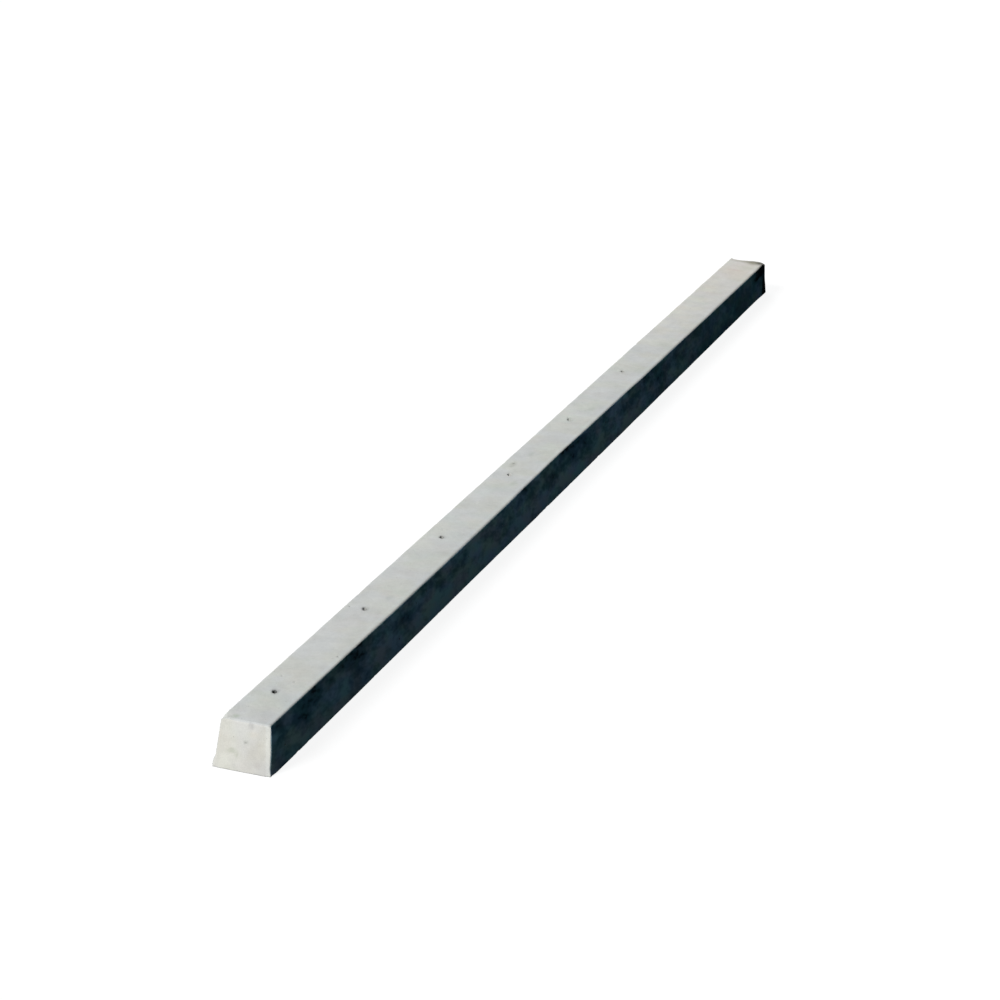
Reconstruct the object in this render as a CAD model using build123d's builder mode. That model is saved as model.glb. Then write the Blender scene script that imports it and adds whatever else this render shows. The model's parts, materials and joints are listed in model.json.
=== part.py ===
from build123d import *
import os

# Precast concrete post for a wire trellis, lying on its wide face.
# Millimetres, +Z up. The post runs along Y: its head is at -Y, and its foot,
# which goes into the ground, at +Y. The origin is the middle of the underside.
# The post is poured with its narrow face down, so all four of the mould's
# walls lean outward and the narrow face is the smaller one in both directions.

# Body
post_length = 2500.0
wide_face_width = 77.0
narrow_face_width = 66.0
post_height = 64.0
end_draft = 8.0
arris_radius = 2.0

# Row of holes for the trellis wires, through the height of the post
hole_count = 6
hole_diameter = 6.0
hole_pitch = 305.0
head_to_first_hole = 99.0
hole_row_offset = 6.0

# Broken corners of the narrow face: how far each break runs back along the
# post, across the narrow face and down the end
head_break_back = 24.0
head_break_across = 5.0
head_break_down = 4.0
foot_break_back = 12.0
foot_break_across = 6.0
foot_break_down = 4.0

# Worked out from the sizes above
half_wide = wide_face_width / 2
half_narrow = narrow_face_width / 2
narrow_face_end = post_length / 2 - end_draft
side_lean = (half_wide - half_narrow) / post_height
end_lean = end_draft / post_height
hole_row_middle_y = head_to_first_hole + hole_pitch * (hole_count - 1) / 2 - narrow_face_end


def leaning_end(end):
    """Plane of the mould's end wall, -1 at the head and 1 at the foot."""
    foot_of_wall = Vector(0, end * post_length / 2, 0)
    return Plane(origin=foot_of_wall, z_dir=(0, end * post_height, end_draft))


def broken_corner(side, end, back, across, down):
    """Plane of a break that takes off one corner of the narrow face.

    side is -1 for the left corner and 1 for the right one, seen from the
    head, and end is -1 at the head and 1 at the foot. The plane's normal
    points away from the post.
    """
    corner = Vector(side * half_narrow, end * narrow_face_end, post_height)
    on_arris = corner + Vector(0, -end * back, 0)
    on_end_edge = corner + Vector(-side * across, 0, 0)
    on_corner_edge = corner + Vector(side * side_lean * down, end * end_lean * down, -down)
    normal = (on_end_edge - on_arris).cross(on_corner_edge - on_arris)
    if normal.dot(corner - on_arris) < 0:
        normal = -normal
    return Plane(origin=on_arris, z_dir=normal)


# The post in one casting: the leaning walls, the mould's rounded arrises
# round the narrow face, the two broken corners and the row of holes
with BuildPart() as post:
    with BuildSketch(Plane.XZ):
        with BuildLine():
            Polyline(
                (-half_wide, 0),
                (half_wide, 0),
                (half_narrow, post_height),
                (-half_narrow, post_height),
                close=True,
            )
        make_face()
    extrude(amount=post_length / 2, both=True)
    split(bisect_by=leaning_end(-1), keep=Keep.BOTTOM)
    split(bisect_by=leaning_end(1), keep=Keep.BOTTOM)

    narrow_face = post.faces().sort_by(Axis.Z)[-1]
    fillet(narrow_face.edges(), radius=arris_radius)

    head_break = broken_corner(-1, -1, head_break_back, head_break_across, head_break_down)
    split(bisect_by=head_break, keep=Keep.BOTTOM)
    foot_break = broken_corner(1, 1, foot_break_back, foot_break_across, foot_break_down)
    split(bisect_by=foot_break, keep=Keep.BOTTOM)

    with BuildSketch(Plane.XY.offset(post_height)):
        with Locations((-hole_row_offset, hole_row_middle_y)):
            with GridLocations(hole_pitch, hole_pitch, 1, hole_count):
                Circle(hole_diameter / 2)
    extrude(amount=-post_height, mode=Mode.SUBTRACT)

post.part.label = "concrete_post"

os.makedirs("parts", exist_ok=True)
export_step(post.part, "parts/concrete_post.step")
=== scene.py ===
import json
import math
import random
from bisect import bisect_left

import bpy
from mathutils import Matrix, Vector, noise


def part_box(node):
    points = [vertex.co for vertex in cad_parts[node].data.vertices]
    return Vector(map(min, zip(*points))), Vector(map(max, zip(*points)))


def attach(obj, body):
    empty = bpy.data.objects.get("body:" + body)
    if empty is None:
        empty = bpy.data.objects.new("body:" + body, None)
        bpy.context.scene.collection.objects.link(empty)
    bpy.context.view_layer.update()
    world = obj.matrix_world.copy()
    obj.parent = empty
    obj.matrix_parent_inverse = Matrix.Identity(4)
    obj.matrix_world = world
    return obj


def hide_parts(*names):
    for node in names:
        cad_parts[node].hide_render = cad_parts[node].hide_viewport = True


# A precast concrete trellis post, lying on its wide face with its head towards the camera.
# Metres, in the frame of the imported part: +Y runs from head to foot, +X is right seen from
# the head, and +Z is up.

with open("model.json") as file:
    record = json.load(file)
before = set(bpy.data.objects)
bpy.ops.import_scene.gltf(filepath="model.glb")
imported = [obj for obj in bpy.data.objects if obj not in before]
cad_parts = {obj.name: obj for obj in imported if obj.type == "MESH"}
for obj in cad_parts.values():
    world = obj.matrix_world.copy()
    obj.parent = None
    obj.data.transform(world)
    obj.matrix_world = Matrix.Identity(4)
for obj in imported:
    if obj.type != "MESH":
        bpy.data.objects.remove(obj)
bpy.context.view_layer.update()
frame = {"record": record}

MM = 0.001
NODE = "concrete_post"

# Blender's vector noise starts from the clock, and differs from run to run, unless it is seeded
NOISE_SEED = 7
noise.seed_set(NOISE_SEED)

# The cast body, wide face down
box_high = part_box(NODE)[1]
HALF_WIDE = box_high.x
HALF_LENGTH = box_high.y
HEIGHT = box_high.z
SIDE_LEAN = 5.5 * MM
END_LEAN = 8 * MM
ARRIS_RADIUS = 1.9 * MM
FLOAT_EDGE_RADIUS = 0.5 * MM
FOOT_EDGE_RADIUS = 4.2 * MM
HEAD_CORNER_RADIUS = 3.6 * MM

# The row of wire holes
BORES = [mount for mount in frame["record"]["mounts"] if mount["kind"] == "bore"]
HOLE_X = BORES[0]["pos_m"][0]
HOLE_YS = sorted(bore["pos_m"][1] for bore in BORES)
HOLE_RADIUS = BORES[0]["dims"]["r_mm"] * MM
MOUTH_STRETCH = 1.75
LOW_MOUTH_STRETCH = 1.2
MOUTH_DEPTH = 9 * MM
MOUTH_WAY = Vector((-0.36, 0.93, 0)).normalized()
# The way towards the hole wall that the key light falls on, and the painted shade added there
FOOTWARD = Vector((0.37, 0.93, 0)).normalized()
FOOTWARD_PAINTED_SHADE = 0.36

# The mesh: how far its first lines lie from an arris, the size of the cells round a hole and
# half their number across, the longest step along the post, how many cells fill the stretches
# between, and half the number of cells across a pore's block
EDGE_STEPS = [0, 1.0 * MM, 2.1 * MM, 3.6 * MM]
CELL = 2.8 * MM
BLOCK_HALF = 4
LINE_STEP = 3.5 * MM
END_ZONE = HALF_LENGTH - 62 * MM
END_ZONE_CELLS = 21
LEFT_CELLS = 4
RIGHT_CELLS = 7
UP_CELLS = 17
PORE_BLOCK_HALF = 2

# Rings of a pore, from outside in: width and depth as shares of its radius and depth, and how
# much dust and painted shade darken them
PORE_RINGS = (
    (1.22, 0.0, 0.0),
    (1.0, 0.14, 0.3),
    (0.84, 0.6, 0.85),
    (0.45, 0.94, 1.0),
)

# Rings of a hole's mouth, from outside in: width as a share of the hole's radius, depth in mm,
# how far they have moved with the mouth, and how much painted shade darkens them
MOUTH_RINGS = (
    (1.75, 0, 0.0, 0.0),
    (1.38, 0, 0.5, 0.0),
    (1.16, 0.1, 0.85, 0.2),
    (1.0, 0.6, 1.0, 0.8),
)

# Depths of the rings down a hole's wall, in mm, and how coarse the raggedness of all rings is
WALL_DEPTHS = (1.8, 3.2, 5, 7, 10, 16, 24, 34, 45, 56)
RING_RAGGED_SIZE = 2.3 * MM

# How near an end the edges take on its wear, and where the head's worn corner lies
END_REACH = 14 * MM
CORNER_FROM_X = 25 * MM
CORNER_BELOW = 62 * MM

# The lip along the wide face: how high up it reaches, how far it stands out, and its bulge at
# the head's left
LIP_HEIGHT = 9 * MM
LIP = 0.2 * MM
BULGE_LENGTH = 60 * MM
BULGE_HEIGHT = 17 * MM
BULGE = 2.3 * MM

# Breaks of the narrow face's corners, in mm: side, end, back along the post, across, down
BROKEN_CORNERS = (
    (-1, -1, 24, 5, 4),
    (1, 1, 10, 5, 3),
)

# How far the right top arris stands out from a straight line, in mm, at places along the post
ARRIS_WANDER = (
    (-1250, -0.4),
    (-1000, 0.2),
    (-800, 1.8),
    (-600, 2.2),
    (-380, 1.6),
    (-250, 0.1),
    (-80, -0.8),
    (100, 0.9),
    (250, 1.6),
    (380, 3.2),
    (550, 3.5),
    (850, 4.4),
    (1170, 5.0),
    (1250, 2.9),
)

# How far the foot of the right side stands out from a straight line, in mm
LOW_WANDER = (
    (-1250, -1.5),
    (-1225, -0.9),
    (-1125, -0.8),
    (-1000, -0.5),
    (-500, -0.6),
    (-200, 0.1),
    (1170, 0.2),
    (1250, 1.6),
)

# Nicks that the photograph shows, in mm: place, radius, depth
SEEN_NICKS = (
    ((38.3, -1250, 3), 10, 1.1),
)

# Nicks elsewhere: how many, their smallest and largest radius and depth in mm, and the length
# of the stretches of post that nicks are kept by
NICKS = 110
NICK_RADII = (2.0, 5.0)
NICK_DEPTHS = (0.12, 0.5)
STRETCH_LENGTH = 30 * MM

# Wear of the narrow face's far edge, in mm, at places across the post: how far it has sunk,
# and from how far back
FOOT_WEAR = (
    (-33, 0.6, 8),
    (-27, 4.4, 18),
    (-13, 4.3, 22),
    (1, 2.8, 26),
    (12, 1.6, 32),
    (23, 1.7, 36),
    (28, 2.5, 34),
    (33, 2.6, 32),
)

# How pale the painted shade on the right side is along the post: a dark colour in place of the
# shade of that side, over most of its length paler near the ground as painted bounce light from
# the floor. Place in mm, then the level near the ground, halfway up and just under the top
# arris. 0 is deep, 1 is pale and -0.7 is black.
PAINTED_SHADE_LEVELS = (
    (-1250, 0.85, -0.25, 0.40),
    (-1130, 0.90, 0.00, 0.20),
    (-1000, 0.75, 0.30, 0.00),
    (-900, 0.75, 0.20, 0.20),
    (-740, 1.00, 0.40, 0.50),
    (-560, 1.05, 0.65, 0.50),
    (-430, 1.15, 0.85, 0.55),
    (-300, 0.85, 0.25, 0.20),
    (-60, 1.10, -0.40, 0.00),
    (100, 1.15, 0.25, 0.45),
    (260, 0.95, 0.35, 0.45),
    (430, 0.35, -0.15, 0.20),
    (610, 0.75, 0.15, 0.10),
    (790, 0.10, 0.15, 0.15),
    (960, -0.05, 0.10, 0.20),
    (1120, 0.10, 0.25, 0.20),
    (1150, 0.15, 0.20, -0.40),
    (1190, 0.25, 0.10, -0.80),
    (1212, 0.20, -0.15, -0.90),
    (1226, -0.95, -0.25, -0.65),
    (1240, -1.20, -0.40, -0.65),
)

# Pores that the photograph shows, in mm: face, place on it, radius, depth, stretch, darkness
SEEN_PORES = (
    ("top", (-15.5, -1095), 1.1, 0.7, 1.3, 0.40),
    ("top", (24.5, -1007), 1.2, 0.8, 1.2, 0.38),
    ("top", (-25.5, -839), 1.3, 0.9, 1.1, 0.42),
    ("top", (-17.5, -172), 1.6, 0.8, 1.8, 0.45),
    ("top", (3.5, 86), 1.2, 0.8, 1.2, 0.50),
    ("top", (6, -1106), 0.9, 0.6, 1.9, 0.35),
    ("head", (1.5, 37), 1.6, 0.3, 1.1, 0.22),
)

# Air pores elsewhere: face, how many, largest radius in mm, darkness. They are few and faint
# on the narrow face, which lay on the mould's floor, and more on the walls and the struck face.
AIR_PORES = (
    ("top", 12, 0.9, 0.30),
    ("bottom", 34, 2.3, 0.85),
    ("right", 40, 1.8, 0.80),
    ("left", 56, 2.1, 0.80),
    ("foot", 9, 1.9, 0.80),
)

# Soft stains, and painted shade at the foot's worn top edge, in mm: middle, half size, and the
# tint that multiplies the concrete's colour
STAINS_AND_SHADE = (
    ((-18, -1232, 64), (7, 8, 5), (0.80, 0.86, 0.78)),
    ((-16, -1125, 64), (9, 16, 5), (1.02, 1.04, 1.05)),
    ((5, -1121, 64), (6, 12, 5), (1.06, 1.06, 1.03)),
    ((-9, -1150, 64), (6, 8, 5), (1.05, 1.05, 1.04)),
    ((3, -1175, 64), (24, 4, 5), (0.965, 0.97, 0.96)),
    ((11, -786, 64), (7, 14, 5), (0.88, 0.90, 0.90)),
    ((12, -263, 64), (7, 20, 5), (0.88, 0.90, 0.88)),
    ((-17, -178, 64), (7, 22, 5), (0.82, 0.82, 0.79)),
    ((-7, -119, 64), (7, 17, 5), (0.88, 0.90, 0.88)),
    ((9, 150, 64), (7, 18, 5), (0.88, 0.89, 0.89)),
    ((0, 1140, 64), (40, 90, 5), (1.02, 0.985, 0.98)),
    ((-4, 1148, 64), (22, 9, 5), (0.97, 0.93, 0.93)),
    # The next three: partly soil stain, partly painted shade where the foot's worn top edge turns
    # from the light
    ((0, 1226, 63), (42, 17, 9), (0.74, 0.74, 0.68)),
    ((16, 1221, 63), (19, 26, 9), (0.64, 0.64, 0.58)),
    ((28, 1226, 61), (12, 28, 10), (0.34, 0.34, 0.32)),
    ((-16, -1247, 25), (9, 6, 5), (0.78, 0.81, 0.76)),
    ((-9, -1247, 20), (4, 6, 6), (0.80, 0.82, 0.78)),
    ((15, -1246, 26), (19, 8, 20), (0.95, 0.94, 0.92)),
    ((21, -1244, 38), (8, 8, 4), (0.89, 0.88, 0.86)),
    ((18, -1248, 12), (10, 8, 5), (0.92, 0.90, 0.90)),
    ((-25, -1248, 10), (14, 8, 12), (1.06, 1.07, 1.06)),
    ((-12, -1249, 5), (6, 5, 4), (0.88, 0.89, 0.89)),
    ((7, -1242, 60), (3.8, 6, 8), (0.82, 0.82, 0.83)),
    ((1.5, -1245, 37), (3.6, 6, 3.6), (0.84, 0.85, 0.84)),
    ((-23, -1247, 22), (3.6, 6, 3.6), (0.90, 0.91, 0.89)),
    ((10, -1243, 49), (10, 6, 7), (1.02, 1.0, 0.96)),
)

# The wire holes' top mouths, from the head, in mm: how far each sits off the hole, across and
# along, then how dark its wall is painted as shade on the head's side, and how dark the ring
# round it is and half the ring's size across and along. The last three have no painted shade
# on the head's side of their walls.
HOLE_MOUTHS = (
    (1.7, -1.5, 0.40, 0.36, 6.8, 12.0),
    (1.5, -0.5, 0.10, 0.28, 6.6, 11.5),
    (0.3, 0.2, 0.18, 0.36, 6.6, 11.0),
    (-0.6, 1.0, 0.00, 0.09, 8.0, 16.0),
    (-0.7, 1.4, 0.00, 0.21, 7.5, 15.0),
    (1.1, -2.4, 0.00, 0.08, 7.4, 15.0),
)


def spread(start, stop, count):
    """Evenly spaced values after start, up to and with stop."""
    return [start + (stop - start) * n / count for n in range(1, count + 1)]


def across_lines(half):
    """Lines across the post at a level where it is 2 * half wide."""
    block = BLOCK_HALF * CELL
    edge = half - EDGE_STEPS[-1]
    lines = [step - half for step in EDGE_STEPS]
    lines += spread(lines[-1], HOLE_X - block, LEFT_CELLS)
    lines += spread(lines[-1], HOLE_X + block, 2 * BLOCK_HALF)
    lines += spread(lines[-1], edge, RIGHT_CELLS)
    return lines + [half - step for step in reversed(EDGE_STEPS[:-1])]


def along_lines(half):
    """Lines along the post at a level where it is 2 * half long."""
    block = BLOCK_HALF * CELL
    edge = half - EDGE_STEPS[-1]
    lines = [step - half for step in EDGE_STEPS]
    lines += spread(lines[-1], -END_ZONE, END_ZONE_CELLS)
    for y in HOLE_YS:
        gap = y - block - lines[-1]
        lines += spread(lines[-1], y - block, math.ceil(gap / LINE_STEP))
        lines += spread(lines[-1], y + block, 2 * BLOCK_HALF)
    lines += spread(lines[-1], END_ZONE, math.ceil((END_ZONE - lines[-1]) / LINE_STEP))
    lines += spread(lines[-1], edge, END_ZONE_CELLS)
    return lines + [half - step for step in reversed(EDGE_STEPS[:-1])]


def up_lines():
    """Levels up the post."""
    edge = EDGE_STEPS[-1]
    lines = EDGE_STEPS + spread(edge, HEIGHT - edge, UP_CELLS)
    return lines + [HEIGHT - step for step in reversed(EDGE_STEPS[:-1])]


UP = up_lines()
ACROSS_LOW = across_lines(HALF_WIDE)
ACROSS_HIGH = across_lines(HALF_WIDE - SIDE_LEAN)
ALONG_LOW = along_lines(HALF_LENGTH)
ALONG_HIGH = along_lines(HALF_LENGTH - END_LEAN)
LAST_ACROSS = len(ACROSS_LOW) - 1
LAST_ALONG = len(ALONG_LOW) - 1
LAST_UP = len(UP) - 1


def mix(low, high, share):
    """The value that lies a share of the way from low to high."""
    return low + (high - low) * share


def smooth(value):
    """A smooth step from 0 to 1 as a value goes from 0 to 1."""
    value = min(1.0, max(0.0, value))
    return value * value * (3 - 2 * value)


def follow(table, place):
    """A table's values at a place, eased between its rows."""
    for before, after in zip(table, table[1:]):
        if place <= after[0]:
            share = smooth((place - before[0]) / (after[0] - before[0]))
            return [mix(low, high, share) for low, high in zip(before[1:], after[1:])]
    return table[-1][1:]


def half_width(z):
    """Half the post's width at a height."""
    return HALF_WIDE - SIDE_LEAN * z / HEIGHT


def half_length(z):
    """Half the post's length at a height."""
    return HALF_LENGTH - END_LEAN * z / HEIGHT


def lattice_point(across, along, up):
    """Place of the lattice's point number across, along and up."""
    z = UP[up]
    share = z / HEIGHT
    x = mix(ACROSS_LOW[across], ACROSS_HIGH[across], share)
    y = mix(ALONG_LOW[along], ALONG_HIGH[along], share)
    return Vector((x, y, z))


class Skin:
    """The post's vertices and faces while they are built up.

    hollow says how far inside a pore or a hole each vertex is, from 0 to 1, and so how much dust
    and painted shade darken it.
    """

    def __init__(self):
        self.points = []
        self.hollow = []
        self.faces = []
        self.shared = {}

    def vertex(self, point, hollow=0.0):
        self.points.append(point)
        self.hollow.append(hollow)
        return len(self.points) - 1

    def lattice_vertex(self, across, along, up):
        key = (across, along, up)
        if key not in self.shared:
            self.shared[key] = self.vertex(lattice_point(*key))
        return self.shared[key]

    def join(self, outer, inner):
        """Faces between two rings with as many vertices."""
        for n in range(len(outer)):
            m = (n + 1) % len(outer)
            self.faces.append((outer[n], outer[m], inner[m], inner[n]))

    def close(self, ring, middle):
        """Faces from a ring to the vertex in its middle."""
        for n in range(len(ring)):
            self.faces.append((ring[n], ring[(n + 1) % len(ring)], middle))


class Side:
    """One flat side of the post: a grid of cells that runs anticlockwise seen from outside.

    index turns a column and a row into the lattice's numbers, and axes are the two
    coordinates that grow with them.
    """

    def __init__(self, skin, columns, rows, axes, index):
        self.skin = skin
        self.columns = columns
        self.rows = rows
        self.axes = axes
        self.index = index
        self.taken = set()
        self.column_places = [self.point(a, rows // 2)[axes[0]] for a in range(columns + 1)]
        self.row_places = [self.point(columns // 2, b)[axes[1]] for b in range(rows + 1)]

    def point(self, column, row):
        return lattice_point(*self.index(column, row))

    def vertex(self, column, row):
        return self.skin.lattice_vertex(*self.index(column, row))

    def nearest(self, point):
        """Column and row line nearest to a point of this side."""
        found = []
        for places, axis in ((self.column_places, self.axes[0]), (self.row_places, self.axes[1])):
            n = bisect_left(places, point[axis])
            n = min(max(n, 1), len(places) - 1)
            before = point[axis] - places[n - 1] < places[n] - point[axis]
            found.append(n - 1 if before else n)
        return found

    def take_block(self, column, row, half):
        """Takes the cells round a crossing out of the grid, if they are all free."""
        inside = half <= column <= self.columns - half and half <= row <= self.rows - half
        cells = {(column + m, row + n) for m in range(-half, half) for n in range(-half, half)}
        if not inside or cells & self.taken:
            return False
        self.taken |= cells
        return True

    def block_border(self, column, row, half):
        """Vertices round a block of cells, anticlockwise from its first corner."""
        steps = range(-half, half)
        border = [self.vertex(column + n, row - half) for n in steps]
        border += [self.vertex(column + half, row + n) for n in steps]
        border += [self.vertex(column - n, row + half) for n in steps]
        border += [self.vertex(column - half, row - n) for n in steps]
        return border

    def directions(self, column, row):
        """Along the columns' numbers, across them, and outward."""
        here = self.point(column, row)
        along = (self.point(column + 1, row) - here).normalized()
        outward = along.cross(self.point(column, row + 1) - here).normalized()
        return along, outward.cross(along), outward

    def fill(self):
        """Faces for all the cells that nothing has taken."""
        for a in range(self.columns):
            for b in range(self.rows):
                if (a, b) not in self.taken:
                    corners = (self.vertex(a, b), self.vertex(a + 1, b))
                    corners += (self.vertex(a + 1, b + 1), self.vertex(a, b + 1))
                    self.skin.faces.append(corners)


def make_sides(skin):
    x, y, z = 0, 1, 2
    across, along, up = LAST_ACROSS, LAST_ALONG, LAST_UP
    return {
        "top": Side(skin, across, along, (x, y), lambda a, b: (a, b, up)),
        "bottom": Side(skin, along, across, (y, x), lambda a, b: (b, a, 0)),
        "right": Side(skin, along, up, (y, z), lambda a, b: (across, a, b)),
        "left": Side(skin, up, along, (z, y), lambda a, b: (0, b, a)),
        "head": Side(skin, across, up, (x, z), lambda a, b: (a, 0, b)),
        "foot": Side(skin, up, across, (z, x), lambda a, b: (b, along, a)),
    }


def oval_ring(skin, centre, directions, count, radius, depth, long_way, stretch, ragged, hollow):
    """A ring of vertices at a depth below centre, longer by stretch in the long way."""
    along, across, outward = directions
    ring = []
    for n in range(count):
        angle = math.radians(-135 + 360 * n / count)
        out = along * math.cos(angle) + across * math.sin(angle)
        lie = out.dot(long_way)
        reach = radius / math.sqrt((lie / stretch) ** 2 + 1 - lie**2)
        place = centre + out * reach - outward * depth
        reach *= 1 + ragged * noise.noise(place / RING_RAGGED_SIZE)
        ring.append(skin.vertex(centre + out * reach - outward * depth, hollow))
    return ring


def skirt(skin, border, ring):
    """A ring halfway between a block's border and the first ring inside it."""
    return [skin.vertex((skin.points[p] + skin.points[q]) / 2) for p, q in zip(border, ring)]


def add_rings(skin, border, rings):
    """Joins a border to its rings, with a skirt between."""
    between = skirt(skin, border, rings[0])
    chain = [border, between] + rings
    for outer, inner in zip(chain, chain[1:]):
        skin.join(outer, inner)


def add_pore(side, target, radius, depth, stretch, turn, darkness):
    """A rounded pit with a soft lip, where the grid has room for one."""
    half = PORE_BLOCK_HALF
    column, row = side.nearest(target)
    if not side.take_block(column, row, half):
        return False
    directions = side.directions(column, row)
    long_way = directions[0] * math.cos(turn) + directions[1] * math.sin(turn)
    border = side.block_border(column, row, half)
    rings = []
    for width, sink, hollow in PORE_RINGS:
        size = (len(border), radius * width, depth * sink)
        look = (long_way, stretch, 0.22, hollow * darkness)
        rings.append(oval_ring(side.skin, target, directions, *size, *look))
    add_rings(side.skin, border, rings)
    side.skin.close(rings[-1], side.skin.vertex(target - directions[2] * depth, darkness))
    return True


def mouth_rings(skin, centre, shift, count, directions, stretch):
    """The rounded and slightly ragged mouth of a hole."""
    rings = []
    for width, depth, moved, hollow in MOUTH_RINGS:
        size = (count, HOLE_RADIUS * width, depth * MM)
        look = (MOUTH_WAY, stretch, 0.12, hollow)
        rings.append(oval_ring(skin, centre + shift * moved, directions, *size, *look))
    return rings


def add_hole(skin, top, bottom, y, mouth):
    """A wire hole from the top to the underside, its top mouth drawn out along the post."""
    shift = Vector((mouth[0] * MM, mouth[1] * MM, 0))
    ends = []
    upper = (top, HEIGHT, shift, MOUTH_STRETCH)
    lower = (bottom, 0, Vector((0, 0, 0)), LOW_MOUTH_STRETCH)
    for side, z, moved, stretch in (upper, lower):
        centre = Vector((HOLE_X, y, z))
        column, row = side.nearest(centre)
        side.take_block(column, row, BLOCK_HALF)
        border = side.block_border(column, row, BLOCK_HALF)
        directions = side.directions(column, row)
        rings = mouth_rings(skin, centre, moved, len(border), directions, stretch)
        add_rings(skin, border, rings)
        ends.append(rings[-1])

    wall, low_ring = ends
    centre = Vector((HOLE_X, y, HEIGHT))
    directions = (Vector((1, 0, 0)), Vector((0, 1, 0)), Vector((0, 0, 1)))
    for level in WALL_DEPTHS:
        depth = level * MM
        narrowed = smooth(depth / MOUTH_DEPTH)
        size = (len(wall), HOLE_RADIUS, depth)
        look = (MOUTH_WAY, mix(MOUTH_STRETCH, 1, narrowed), 0.08, 1.0)
        ring = oval_ring(skin, centre + shift * (1 - narrowed), directions, *size, *look)
        skin.join(wall, ring)
        wall = ring
    skin.join(wall, [low_ring[-n % len(low_ring)] for n in range(len(low_ring))])


def add_seen_pores(sides):
    rng = random.Random(11)
    for name, (first, second), radius, depth, stretch, darkness in SEEN_PORES:
        if name == "top":
            target = Vector((first * MM, second * MM, HEIGHT))
        else:
            target = Vector((first * MM, -half_length(second * MM), second * MM))
        turn = rng.uniform(0, math.pi)
        add_pore(sides[name], target, radius * MM, depth * MM, stretch, turn, darkness)


def random_place(name, rng):
    """A place on one side of the post, clear of its arrises."""
    margin = 8 * MM
    y = rng.uniform(margin - HALF_LENGTH, HALF_LENGTH - margin - END_LEAN)
    z = rng.uniform(margin, HEIGHT - margin)
    x = rng.uniform(-1, 1) * (half_width(HEIGHT) - margin)
    places = {
        "top": Vector((x, y, HEIGHT)),
        "bottom": Vector((x, y, 0)),
        "right": Vector((half_width(z), y, z)),
        "left": Vector((-half_width(z), y, z)),
        "foot": Vector((x, half_length(z), z)),
    }
    return places[name]


def add_air_pores(sides):
    rng = random.Random(29)
    for name, count, largest, darkness in AIR_PORES:
        for _ in range(count):
            radius = mix(0.6, largest, rng.random() ** 2.2) * MM
            depth = radius * rng.uniform(0.5, 0.9)
            stretch, turn = rng.uniform(1.0, 1.45), rng.uniform(0, math.pi)
            add_pore(sides[name], random_place(name, rng), radius, depth, stretch, turn, darkness)


def corner_break(side, end, back, across, down):
    """A point of a break's plane and its outward normal."""
    corner = Vector((side * half_width(HEIGHT), end * half_length(HEIGHT), HEIGHT))
    on_arris = corner + Vector((0, -end * back * MM, 0))
    on_end_edge = corner + Vector((-side * across * MM, 0, 0))
    share = down * MM / HEIGHT
    down_the_corner = (side * SIDE_LEAN * share, end * END_LEAN * share, -down * MM)
    on_corner_edge = corner + Vector(down_the_corner)
    normal = (on_end_edge - on_arris).cross(on_corner_edge - on_arris).normalized()
    if normal.dot(corner - on_arris) < 0:
        normal = -normal
    return on_arris, normal


def make_chips():
    """Small nicks in the arrises, by stretches of the post: place, radius, depth, way in."""
    rng = random.Random(5)
    chips = {}

    def add_chip(place, radius, depth, way_in):
        for near in (-1, 0, 1):
            stretch = stretch_number(place.y) + near
            chips.setdefault(stretch, []).append((place, radius, depth, way_in))

    for place, radius, depth in SEEN_NICKS:
        place = Vector(place) * MM
        way_in = Vector((-place.x, -place.y / 20, HEIGHT / 2 - place.z)).normalized()
        add_chip(place, radius * MM, depth * MM, way_in)
    for n in range(NICKS):
        side, end = rng.choice((-1, 1)), rng.choice((-1, 1))
        z = rng.choice((0, HEIGHT))
        way_down = -1 if z else 1
        if n % 10 == 0:
            x = rng.uniform(-1, 1) * half_width(z)
            place = Vector((x, end * half_length(z), z))
            way_in = Vector((0, -end, way_down)).normalized()
        else:
            y = rng.uniform(-1, 1) * half_length(z)
            place = Vector((side * half_width(z), y, z))
            way_in = Vector((-side, 0, way_down)).normalized()
        size = rng.random() ** 3
        radius = mix(*NICK_RADII, size) * MM
        depth = mix(*NICK_DEPTHS, size) * MM
        add_chip(place, radius, depth, way_in)
    return chips


def stretch_number(y):
    """Number of the stretch of post that a place along it lies in."""
    return math.floor(y / STRETCH_LENGTH)


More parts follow.
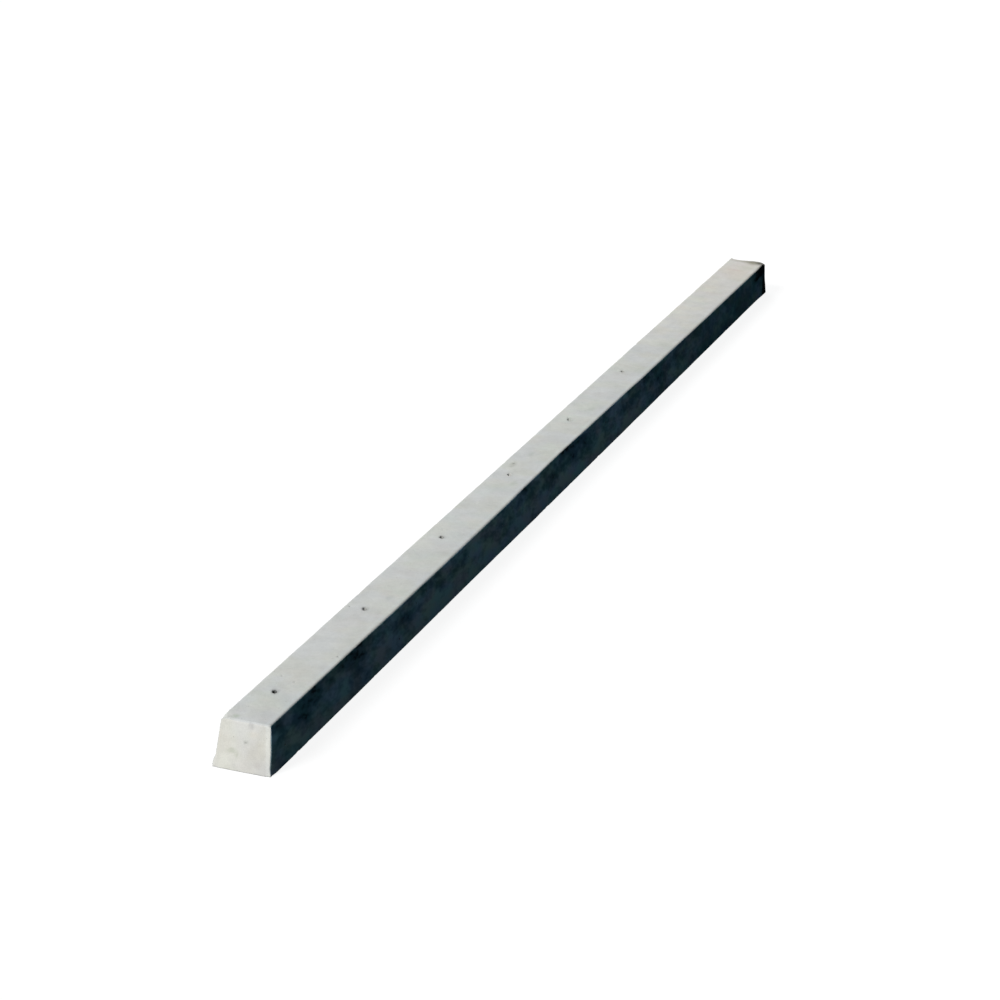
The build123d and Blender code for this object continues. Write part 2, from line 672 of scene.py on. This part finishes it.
class Weather:
    """What casting and handling did to the clean shape."""

    def __init__(self):
        self.breaks = [corner_break(*corner) for corner in BROKEN_CORNERS]
        self.chips = make_chips()

    def edge_radius(self, point):
        """Radius of the edges: sharp on the wide face, and worn at the foot and one corner."""
        varied = 1 + 0.3 * noise.noise(point / (70 * MM))
        near_foot = smooth((point.y - HALF_LENGTH + END_REACH) / (4 * MM))
        near_head = smooth((END_REACH - HALF_LENGTH - point.y) / (4 * MM))
        on_top = smooth((point.z / HEIGHT - 0.5) * 2)
        on_right = smooth((point.x - CORNER_FROM_X) / (8 * MM))
        low_down = smooth((CORNER_BELOW - point.z) / (26 * MM))
        wall_radius = mix(ARRIS_RADIUS, HEAD_CORNER_RADIUS, near_head * on_right * low_down)
        radius = mix(FLOAT_EDGE_RADIUS, wall_radius, smooth(point.z / (7 * MM)))
        return mix(radius, FOOT_EDGE_RADIUS, near_foot * on_top) * varied

    def round_edges(self, point):
        """The point on the rounded edge, and how far round it is, from 0 to 1."""
        radius = self.edge_radius(point)
        middle = HEIGHT / 2
        gaps = (
            half_width(point.z) - abs(point.x),
            half_length(point.z) - abs(point.y),
            middle - abs(point.z - middle),
        )
        ways = (point.x, point.y, point.z - middle)
        out = Vector([math.copysign(max(0.0, radius - gap), way) for gap, way in zip(gaps, ways)])
        excess = out.length / radius - 1
        if excess <= 0:
            return point, 0.0
        return point + out * (radius / out.length - 1), min(1.0, excess / 0.35)

    def lean_out(self, point):
        """The right side's slow wander along its top arris and along its foot."""
        high, = follow(ARRIS_WANDER, point.y / MM)
        low, = follow(LOW_WANDER, point.y / MM)
        reach = max(0.0, point.x / half_width(point.z)) ** 3
        wander = high * (point.z / HEIGHT) ** 1.5 + low * smooth((36 * MM - point.z) / (28 * MM))
        return point + Vector((wander * MM * reach, 0, 0))

    def flare_out(self, point):
        """The thin lip that striking off left along the wide face, fullest at the head's left."""
        at_corner = smooth(1.2 - (point.y + HALF_LENGTH) / BULGE_LENGTH) * (point.x < 0)
        lip = LIP * noise.noise(Vector((point.x, point.y, 0)) / (50 * MM))
        lip *= smooth(1 - point.z / LIP_HEIGHT)
        bulge = BULGE * at_corner * smooth((BULGE_HEIGHT - point.z) / (10 * MM))
        bulge *= mix(0.5, 1.0, smooth(point.z / (4 * MM)))
        reach = (point.x / half_width(point.z)) ** 7
        return point + Vector(((lip + bulge) * reach, 0, 0))

    def sink_foot(self, point):
        """The narrow face's last stretch before the foot's end, worn down."""
        drop, back = follow(FOOT_WEAR, point.x / MM)
        share = 1 + (point.y - HALF_LENGTH + END_LEAN) / (back * MM)
        share = min(1.0, max(0.0, share)) ** 2
        return point - Vector((0, 0, drop * MM * share * (point.z / HEIGHT) ** 3))

    def break_corners(self, point):
        """The point on the rough plane of a break, and 1 if it was broken off."""
        broken = 0.0
        for origin, normal in self.breaks:
            proud = (point - origin).dot(normal)
            if proud > 0:
                rough = 0.45 * MM * (0.6 + noise.noise(point / (4.5 * MM)))
                point = point - normal * (proud + rough * smooth(proud / (0.8 * MM)))
                broken = 1.0
        return point, broken

    def chip_edges(self, point):
        """The point pushed in by the nicks near it, and how worn it is, from 0 to 1."""
        worn = 0.0
        for place, radius, depth, way_in in self.chips.get(stretch_number(point.y), ()):
            away = point - place
            away.y *= 0.65
            share = away.length / radius
            if share < 1:
                dent = depth * (1 - share**2) * (1 + 0.6 * noise.noise(point / (1.7 * MM)))
                point = point + way_in * dent
                worn = max(worn, 1 - share)
        return point, worn

    def waver(self, point):
        """Unevenness of the mould, and of the float that struck the wide face off."""
        slow = noise.noise_vector(point / (85 * MM)) * 0.16 * MM
        fine = noise.noise_vector(point / (11 * MM) + Vector((7, 3, 5))) * 0.07 * MM
        from_edge = min(half_width(0) - abs(point.x), half_length(0) - abs(point.y))
        low = smooth(1 - point.z / (4 * MM)) * smooth(from_edge / (7 * MM))
        strokes = noise.noise(Vector((point.x / (9 * MM), point.y / (110 * MM), 2)))
        pits = noise.noise(point / (6 * MM))
        lift = (0.5 + 0.35 * strokes + 0.3 * pits) * MM * low
        moved = point + slow + fine + Vector((0, 0, lift))
        moved.z = max(moved.z, 0.0)
        return moved

    def __call__(self, point):
        moved, rounded = self.round_edges(point)
        moved = self.flare_out(self.lean_out(moved))
        moved, chipped = self.chip_edges(moved)
        moved, broken = self.break_corners(moved)
        moved = self.sink_foot(moved)
        return self.waver(moved), max(rounded, chipped, broken)


def stain_and_shade_tint(point):
    """The product of the tints of all the stains, some partly painted shade, that reach a point.
    """
    tint = Vector((1, 1, 1))
    strayed = point + noise.noise_vector(point / (7 * MM)) * 2.2 * MM
    for middle, half_size, colour in STAINS_AND_SHADE:
        away = [(strayed[n] - middle[n] * MM) / (half_size[n] * MM) for n in range(3)]
        share = smooth(1.25 * (1 - Vector(away).length))
        if share > 0:
            tint = Vector([tint[n] * mix(1, colour[n], share) for n in range(3)])
    return tint


def arris_shade_tint(point):
    """Painted shade along the narrow face's right arris, where it turns towards the shaded side,
    with a paler strip beside it.
    """
    gap = half_width(point.z) - point.x
    on_top = smooth((point.z - HEIGHT + 4 * MM) / (3 * MM))
    dark = mix(1.0, mix(0.5, 1.0, smooth(gap / (4.4 * MM))), on_top)
    strip = smooth(gap / (2 * MM) - 1.6) * smooth((10 * MM - gap) / (3 * MM)) * on_top
    return Vector((1 + 0.02 * strip, 1 + 0.035 * strip, 1 + 0.05 * strip)) * dark


def painted_shade_level(point):
    """How pale the painted shade is at a point of the right side."""
    low, middle, high = follow(PAINTED_SHADE_LEVELS, point.y / MM)
    level = mix(low, middle, smooth((point.z / HEIGHT - 0.2) / 0.5))
    return mix(level, high, smooth((point.z - 38 * MM) / (9 * MM)))


def nearest_mouth(point):
    """Number of the hole nearest to a point."""
    distances = [abs(point.y - y) for y in HOLE_YS]
    return distances.index(min(distances))


def wall_painted_shade(point):
    """How much painted shade a hole's wall has at a point: more deep down, and on the foot's
    side, which the key light falls on.
    """
    n = nearest_mouth(point)
    off_across, off_along, darkness = HOLE_MOUTHS[n][:3]
    away = point - Vector((HOLE_X + off_across * MM, HOLE_YS[n] + off_along * MM, point.z))
    # Painted shade on the wall that the light reaches, and more deep down
    darkness += FOOTWARD_PAINTED_SHADE * smooth(0.5 + away.dot(FOOTWARD) / (2 * HOLE_RADIUS))
    return mix(darkness, 1.0, smooth((HEIGHT - point.z - 5 * MM) / (10 * MM)))


def mouth_ring_darkness(point):
    """How dark the soft ring round a hole's top mouth is at a point."""
    n = nearest_mouth(point)
    off_across, off_along, _, darkness, half_across, half_along = HOLE_MOUTHS[n]
    away = point - Vector((HOLE_X + off_across * MM, HOLE_YS[n] + off_along * MM, HEIGHT))
    along = away.dot(MOUTH_WAY) / (half_along * MM)
    across = away.cross(MOUTH_WAY).z / (half_across * MM)
    on_top = smooth(1 + away.z / (3 * MM))
    return darkness * on_top * smooth(1.5 * (1 - math.hypot(along, across)))


def make_post(material):
    """The post as one detailed mesh with its wear, stains and painted shade kept in attributes.
    """
    skin = Skin()
    sides = make_sides(skin)
    for y, mouth in zip(HOLE_YS, HOLE_MOUTHS):
        add_hole(skin, sides["top"], sides["bottom"], y, mouth)
    add_seen_pores(sides)
    add_air_pores(sides)
    for side in sides.values():
        side.fill()

    weather = Weather()
    worn, tints, depths, painted_shades, places = [], [], [], [], []
    for point, hollow in zip(skin.points, skin.hollow):
        place, wear = weather(point)
        in_row = abs(point.x - HOLE_X) < 8 * MM and hollow > 0
        places.append(place)
        worn.append(wear)
        # How pale the right side's painted shade is at this point
        painted_shades.append(painted_shade_level(point))
        depths.append(hollow * wall_painted_shade(point) if in_row else hollow)
        # The stain colour: stains, partly painted shade at the foot's worn edge, painted shade
        # along the right arris, and darkened rings round the holes' mouths
        tint = stain_and_shade_tint(point) * arris_shade_tint(point) * (1 - mouth_ring_darkness(point))
        tints += [*tint, 1.0]

    mesh = bpy.data.meshes.new("trellis_post")
    mesh.from_pydata(places, [], skin.faces)
    mesh.polygons.foreach_set("use_smooth", [True] * len(mesh.polygons))
    # Attributes: wear, how far into pores and holes (their dust and painted shade), and the right
    # side's painted shade
    for name, values in (("worn", worn), ("hollow", depths), ("painted_shade", painted_shades)):
        mesh.attributes.new(name, "FLOAT", "POINT").data.foreach_set("value", values)
    mesh.attributes.new("stain_and_shade", "FLOAT_COLOR", "POINT").data.foreach_set("color", tints)
    mesh.materials.append(material)
    mesh.validate()

    post = bpy.data.objects.new("trellis_post", mesh)
    bpy.context.scene.collection.objects.link(post)
    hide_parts(NODE)
    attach(post, "root")


class Nodes:
    """Short calls that build one node tree."""

    def __init__(self, owner):
        owner.use_nodes = True
        self.tree = owner.node_tree
        self.tree.nodes.clear()

    def add(self, kind, inputs=None, **settings):
        node = self.tree.nodes.new(kind)
        for name, value in settings.items():
            setattr(node, name, value)
        for name, value in (inputs or {}).items():
            self.feed(node.inputs[name], value)
        return node

    def feed(self, socket, value):
        if isinstance(value, bpy.types.NodeSocket):
            self.tree.links.new(value, socket)
        else:
            socket.default_value = value

    def math(self, operation, first, second=0.0):
        node = self.add("ShaderNodeMath", {0: first, 1: second}, operation=operation)
        return node.outputs[0]

    def ramp(self, value, start, stop, low=0.0, high=1.0):
        """Smooth step of a value from low at start to high at stop."""
        inputs = {"Value": value, "From Min": start, "From Max": stop}
        inputs.update({"To Min": low, "To Max": high})
        node = self.add("ShaderNodeMapRange", inputs, interpolation_type="SMOOTHSTEP")
        return node.outputs["Result"]

    def noise(self, place, size, detail=2.0, roughness=0.5):
        inputs = {"Vector": place, "Scale": 1 / size, "Detail": detail, "Roughness": roughness}
        return self.add("ShaderNodeTexNoise", inputs).outputs[0]

    def shifted(self, place, shift):
        inputs = {"Vector": place, "Location": shift}
        return self.add("ShaderNodeMapping", inputs).outputs[0]

    def slanted(self, place, shift=(0, 0, 0)):
        """Place for the painted shade's clouds, drawn out along the post and down towards its
        foot.
        """
        inputs = {"Vector": place, "Location": shift}
        inputs.update({"Scale": (1, CLOUD_LENGTH, 1), "Rotation": (CLOUD_SLANT, 0, 0)})
        return self.add("ShaderNodeMapping", inputs, vector_type="TEXTURE").outputs[0]

    def blend(self, share, first, second, kind="MIX"):
        """Mixes two colours."""
        inputs = {0: share, 6: first, 7: second}
        node = self.add("ShaderNodeMix", inputs, data_type="RGBA", blend_type=kind)
        return node.outputs[2]

    def grey(self, value):
        return self.add("ShaderNodeCombineColor", {0: value, 1: value, 2: value}).outputs[0]

    def attribute(self, name, output="Fac"):
        return self.add("ShaderNodeAttribute", attribute_name=name).outputs[output]


def colour(red, green, blue):
    return (red, green, blue, 1.0)


CONCRETE = colour(0.543, 0.551, 0.542)
# The head's concrete: lighter than the top as painted light where the head faces the light, and a
# little warmer
END_CONCRETE_WITH_PAINTED_LIGHT = colour(0.657, 0.650, 0.619)
FAR_CONCRETE = colour(0.584, 0.569, 0.543)
GREEN_CLOUD = colour(0.96, 1.0, 0.965)
PINK_CLOUD = colour(1.0, 0.97, 0.955)
STRAW_CLOUD = colour(1.005, 1.0, 0.955)
# A painted highlight down the head's right edge
PAINTED_HIGHLIGHT_STRIP = colour(1.10, 1.115, 1.125)
PALE_ARRIS = colour(0.66, 0.67, 0.65)
# Dark dust and painted shade in pinholes, pores and holes
PORE_DUST_AND_SHADE = colour(0.040, 0.042, 0.040)
# Painted shade of the right side: dark blue-grey colours in place of the shade there, and tints
# that vary it
DEEP_PAINTED_SHADE = colour(0.0460, 0.129, 0.183)
PALE_PAINTED_SHADE = colour(0.160, 0.316, 0.408)
GREYED_PAINTED_SHADE = colour(1.31, 1.0, 0.85)
VIOLET_PAINTED_SHADE = colour(1.045, 0.925, 1.035)
GREENED_PAINTED_SHADE = colour(0.955, 1.075, 0.965)

# Clouds in the concrete's colour: their size and strength
CONCRETE_CLOUDS = (
    (70 * MM, 0.16),
    (24 * MM, 0.22),
    (7 * MM, 0.14),
    (1.3 * MM, 0.30),
)

# Clouds in the painted shade: their size, detail and strength, how much longer than high they
# are, and how far they slant down towards the foot
PAINTED_SHADE_CLOUDS = (
    (34 * MM, 1.5, 0.30),
    (13 * MM, 1.5, 0.22),
    (4.5 * MM, 1.0, 0.12),
)
CLOUD_LENGTH = 2.4
CLOUD_SLANT = math.radians(-12)

# Places across the post between which the painted shade begins, so that the holes have none
PAINTED_SHADE_FROM_X = 22 * MM
PAINTED_SHADE_FULL_X = 26 * MM


def concrete_tone(nodes, place):
    """Brightness of the cement skin, about 1, from broad clouds down to the sand."""
    tone = 1.0
    for size, strength in CONCRETE_CLOUDS:
        level = nodes.noise(place, size, detail=3.0)
        swing = nodes.math("MULTIPLY", nodes.math("SUBTRACT", level, 0.5), strength)
        tone = nodes.math("ADD", tone, swing)
    return tone


def pinholes(nodes, place, spacing, share):
    """1 in tiny round air holes, in a share of the cells of a loose pattern."""
    inputs = {"Vector": place, "Scale": 1 / spacing}
    cells = nodes.add("ShaderNodeTexVoronoi", inputs)
    dot = nodes.ramp(cells.outputs["Distance"], 0.05, 0.11, 1.0, 0.0)
    chance = nodes.add("ShaderNodeSeparateColor", {0: cells.outputs["Color"]}).outputs[0]
    chosen = nodes.math("LESS_THAN", chance, share)
    return nodes.math("MULTIPLY", dot, chosen)


def concrete_colour(nodes, place, x, y, from_right, normal):
    """Pale cement with green and pink clouds, warmer towards the foot and on the ends; the head
    lighter as painted light, with a painted highlight strip down its right edge.
    """
    toward_head = nodes.math("MULTIPLY", normal["Y"], -1.0)
    on_head = nodes.ramp(toward_head, 0.85, 0.97)
    far = nodes.ramp(y, 0.35, 1.15)
    shade = nodes.blend(far, CONCRETE, FAR_CONCRETE)
    # The head is lighter as painted light, as if turned to the light
    shade = nodes.blend(on_head, shade, END_CONCRETE_WITH_PAINTED_LIGHT)

    green_cloud = nodes.ramp(nodes.noise(place, 45 * MM, 2.0), 0.50, 0.66, 0.0, 0.5)
    shade = nodes.blend(green_cloud, shade, GREEN_CLOUD, "MULTIPLY")
    shifted = nodes.shifted(place, (3.1, 1.7, 0.4))
    pink_cloud = nodes.ramp(nodes.noise(shifted, 38 * MM, 2.0), 0.50, 0.66, 0.0, 0.5)
    shade = nodes.blend(pink_cloud, shade, PINK_CLOUD, "MULTIPLY")
    shifted = nodes.shifted(place, (0.6, 4.3, 2.2))
    straw_cloud = nodes.ramp(nodes.noise(shifted, 55 * MM, 2.0), 0.38, 0.62)
    shade = nodes.blend(straw_cloud, shade, STRAW_CLOUD, "MULTIPLY")

    # Painted highlight: a paler strip down the head's right edge
    near_right = nodes.ramp(from_right, 9.5 * MM, 6 * MM)
    strip = nodes.math("MULTIPLY", near_right, on_head)
    shade = nodes.blend(strip, shade, PAINTED_HIGHLIGHT_STRIP, "MULTIPLY")

    leftward = nodes.ramp(x, -34 * MM, 34 * MM, 1.03, 0.965)
    tone = nodes.math("MULTIPLY", concrete_tone(nodes, place), leftward)
    shade = nodes.blend(1.0, shade, nodes.grey(tone), "MULTIPLY")
    # Stains, painted shade and the holes' darkened rings, from the mesh's colour attribute
    return nodes.blend(1.0, shade, nodes.attribute("stain_and_shade", "Color"), "MULTIPLY")


def painted_shade_colour(nodes, place, y):
    """Painted shade on the right side: dark blue-grey, in soft clouds, more even towards the
    foot.
    """
    clouds = nodes.slanted(place)
    cloud = 0.0
    for size, detail, strength in PAINTED_SHADE_CLOUDS:
        swing = nodes.ramp(nodes.noise(clouds, size, detail), 0.3, 0.7, -strength, strength)
        cloud = nodes.math("ADD", cloud, swing)
    patchy = nodes.ramp(y, 0.4, 0.8, 1.35, 0.75)
    cloud = nodes.math("MULTIPLY", cloud, patchy)
    level = nodes.math("ADD", nodes.attribute("painted_shade"), cloud)
    shade = nodes.blend(level, DEEP_PAINTED_SHADE, PALE_PAINTED_SHADE)
    black = nodes.ramp(level, -0.75, -0.05, 0.12, 1.0)
    shade = nodes.blend(1.0, shade, nodes.grey(black), "MULTIPLY")

    shifted = nodes.slanted(place, (4.0, 2.0, 1.0))
    greyed = nodes.ramp(nodes.noise(shifted, 26 * MM, 2.0), 0.35, 0.65)
    shade = nodes.blend(greyed, shade, GREYED_PAINTED_SHADE, "MULTIPLY")
    shifted = nodes.slanted(place, (1.0, 5.0, 3.0))
    greened = nodes.ramp(nodes.noise(shifted, 22 * MM, 2.0), 0.36, 0.64)
    return nodes.blend(1.0, shade, nodes.blend(greened, VIOLET_PAINTED_SHADE, GREENED_PAINTED_SHADE), "MULTIPLY")


def painted_shade_cover(nodes, place, normal_x):
    """Where the painted shade lies: on the right side, thinning out round the arris."""
    drift = nodes.math("SUBTRACT", nodes.noise(place, 9 * MM, 2.0), 0.5)
    facing = nodes.math("ADD", normal_x, nodes.math("MULTIPLY", drift, 0.25))
    return nodes.ramp(facing, 0.34, 0.90)


def make_concrete():
    """Cement skin with the painted shade on the right side, worn edges, and pinholes, pores and
    holes darkened with dust and painted shade.
    """
    material = bpy.data.materials.new("cast_concrete")
    nodes = Nodes(material)
    place = nodes.add("ShaderNodeTexCoord").outputs["Object"]
    spot = nodes.add("ShaderNodeSeparateXYZ", {0: place}).outputs
    outward = nodes.add("ShaderNodeNewGeometry").outputs["Normal"]
    normal = nodes.add("ShaderNodeSeparateXYZ", {0: outward}).outputs

    holes = pinholes(nodes, place, 9 * MM, 0.35)
    fine_holes = pinholes(nodes, place, 4 * MM, 0.25)
    grain = nodes.noise(place, 1.1 * MM, 3.0, 0.6)

    leaned = nodes.math("MULTIPLY", spot["Z"], SIDE_LEAN / HEIGHT)
    from_right = nodes.math("SUBTRACT", HALF_WIDE, nodes.math("ADD", spot["X"], leaned))
    shade = concrete_colour(nodes, place, spot["X"], spot["Y"], from_right, normal)
    # The right side gets the painted shade, a dark colour in place of its shade, clear of the
    # holes
    outside_holes = nodes.ramp(spot["X"], PAINTED_SHADE_FROM_X, PAINTED_SHADE_FULL_X)
    painted_shade_share = nodes.math("MULTIPLY", painted_shade_cover(nodes, place, normal["X"]), outside_holes)
    shade = nodes.blend(painted_shade_share, shade, painted_shade_colour(nodes, place, spot["Y"]))

    rub = nodes.ramp(nodes.noise(place, 6 * MM, 3.0), 0.36, 0.62)
    worn = nodes.math("MULTIPLY", nodes.attribute("worn"), rub)
    bare = nodes.math("MULTIPLY", worn, nodes.math("SUBTRACT", 1.0, painted_shade_share))
    shade = nodes.blend(nodes.math("MULTIPLY", bare, 0.3), shade, PALE_ARRIS)

    # Pinholes, pores and holes darkened with dust and painted shade, hole walls darkest deep down
    dots = nodes.math("MAXIMUM", holes, nodes.math("MULTIPLY", fine_holes, 0.6))
    shade = nodes.blend(nodes.math("MULTIPLY", dots, 0.3), shade, PORE_DUST_AND_SHADE)
    dust_and_shade = nodes.ramp(nodes.attribute("hollow"), 0.0, 1.0, 0.0, 0.97)
    shade = nodes.blend(dust_and_shade, shade, PORE_DUST_AND_SHADE)

    height = nodes.math("SUBTRACT", grain, nodes.math("MULTIPLY", dots, 1.6))
    swell = nodes.math("MULTIPLY", nodes.noise(place, 5 * MM, 3.0), 1.5)
    height = nodes.math("ADD", height, swell)
    inputs = {"Height": height, "Strength": 0.55, "Distance": 0.16 * MM}
    bump = nodes.add("ShaderNodeBump", inputs)

    rough = nodes.ramp(nodes.noise(place, 15 * MM, 3.0), 0.3, 0.7, 0.84, 0.97)
    surface = nodes.add("ShaderNodeBsdfPrincipled", {"Base Color": shade, "Roughness": rough})
    surface.inputs["Specular IOR Level"].default_value = 0.0
    nodes.feed(surface.inputs["Normal"], bump.outputs[0])
    output = nodes.add("ShaderNodeOutputMaterial")
    nodes.feed(output.inputs["Surface"], surface.outputs[0])
    return material


# The stage: the floor's reach in metres, its own white, and the colours that it shows to the
# camera and throws back on the post, then the sky and its strength
FLOOR_REACH = 40.0
FLOOR_WHITE = 0.90
FLOOR_SHOWN = colour(0.14, 0.14, 0.14)
FLOOR_BOUNCE = colour(0.07, 0.07, 0.07)
WHITE = colour(1, 1, 1)
SKY = colour(0.86, 1.0, 1.10)
SKY_STRENGTH = 0.12

# The photograph's camera: its place in metres, its turns in degrees, its lens and sensor in mm
CAMERA_PLACE = (1.230482, -4.145951, 1.466616)
CAMERA_YAW = -17.69
CAMERA_PITCH = 19.366
CAMERA_ROLL = 3.086
CAMERA_LENS = 102.779
CAMERA_SENSOR = 36


def seen_directly(nodes):
    """1 for rays from the camera, from gloss and through glass."""
    rays = nodes.add("ShaderNodeLightPath").outputs
    gloss = nodes.math("MAXIMUM", rays["Is Glossy Ray"], rays["Is Transmission Ray"])
    return nodes.math("MAXIMUM", rays["Is Camera Ray"], gloss)


def floor_glow(nodes):
    """Strength of the floor's own white, which is none under the post: a painted shadow there."""
    place = nodes.add("ShaderNodeTexCoord").outputs["Object"]
    spot = nodes.add("ShaderNodeSeparateXYZ", {0: place}).outputs
    open_floor = 0.0
    for axis, half in (("X", HALF_WIDE), ("Y", HALF_LENGTH)):
        off_middle = nodes.math("ABSOLUTE", spot[axis])
        outside = nodes.ramp(off_middle, half - 8 * MM, half - 5 * MM)
        open_floor = nodes.math("MAXIMUM", open_floor, outside)
    return nodes.math("MULTIPLY", open_floor, FLOOR_WHITE)


def make_floor():
    """A white floor that keeps a faint shadow and throws little light back."""
    material = bpy.data.materials.new("studio_floor")
    nodes = Nodes(material)
    glow = nodes.add("ShaderNodeEmission", {"Color": WHITE, "Strength": floor_glow(nodes)})
    shown = nodes.add("ShaderNodeBsdfDiffuse", {"Color": FLOOR_SHOWN})
    bounce = nodes.add("ShaderNodeBsdfDiffuse", {"Color": FLOOR_BOUNCE})
    white = nodes.add("ShaderNodeAddShader", {0: glow.outputs[0], 1: shown.outputs[0]})
    inputs = {0: seen_directly(nodes), 1: bounce.outputs[0], 2: white.outputs[0]}
    both = nodes.add("ShaderNodeMixShader", inputs)
    output = nodes.add("ShaderNodeOutputMaterial")
    nodes.feed(output.inputs["Surface"], both.outputs[0])

    mesh = bpy.data.meshes.new("floor")
    ways = ((-1, -1), (1, -1), (1, 1), (-1, 1))
    corners = [(x * FLOOR_REACH, y * FLOOR_REACH, 0) for x, y in ways]
    mesh.from_pydata(corners, [], [(0, 1, 2, 3)])
    mesh.materials.append(material)
    floor = bpy.data.objects.new("floor", mesh)
    bpy.context.scene.collection.objects.link(floor)


def make_world():
    """Weak cool sky light, seen as white."""
    world = bpy.data.worlds.new("studio")
    bpy.context.scene.world = world
    nodes = Nodes(world)
    sky = nodes.add("ShaderNodeBackground", {"Color": SKY, "Strength": SKY_STRENGTH})
    white = nodes.add("ShaderNodeBackground", {"Color": WHITE, "Strength": 1.0})
    inputs = {0: seen_directly(nodes), 1: sky.outputs[0], 2: white.outputs[0]}
    both = nodes.add("ShaderNodeMixShader", inputs)
    output = nodes.add("ShaderNodeOutputWorld")
    nodes.feed(output.inputs["Surface"], both.outputs[0])


def make_sun(name, towards, level, softness):
    """A soft sun. level is the share of full light that it gives a face turned to it."""
    light = bpy.data.lights.new(name, "SUN")
    light.energy = level * math.pi
    light.angle = math.radians(softness)
    sun = bpy.data.objects.new(name, light)
    sun.rotation_mode = "QUATERNION"
    sun.rotation_quaternion = Vector(towards).to_track_quat("Z", "Y")
    bpy.context.scene.collection.objects.link(sun)


def make_camera():
    """The photograph's camera: off the head's right, high up, with a long lens."""
    yaw, pitch, roll = map(math.radians, (CAMERA_YAW, CAMERA_PITCH, CAMERA_ROLL))
    ahead_x = math.sin(yaw) * math.cos(pitch)
    ahead_y = math.cos(yaw) * math.cos(pitch)
    ahead = Vector((ahead_x, ahead_y, -math.sin(pitch)))
    level_right = ahead.cross(Vector((0, 0, 1))).normalized()
    level_up = level_right.cross(ahead)
    right = level_right * math.cos(roll) + level_up * math.sin(roll)
    up = level_up * math.cos(roll) - level_right * math.sin(roll)

    camera = bpy.data.cameras.new("camera")
    camera.sensor_width = CAMERA_SENSOR
    camera.lens = CAMERA_LENS
    viewer = bpy.data.objects.new("camera", camera)
    turn = Matrix((right, up, -ahead)).transposed().to_4x4()
    viewer.matrix_world = Matrix.Translation(CAMERA_PLACE) @ turn
    bpy.context.scene.collection.objects.link(viewer)
    bpy.context.scene.camera = viewer


make_post(make_concrete())
make_floor()
make_world()
make_sun("key", towards=(-0.30, -0.76, 0.577), level=1.15, softness=18)
make_sun("fill", towards=(-0.55, 0.65, 0.52), level=0.45, softness=40)
make_camera()
bpy.context.scene.view_settings.view_transform = "Standard"
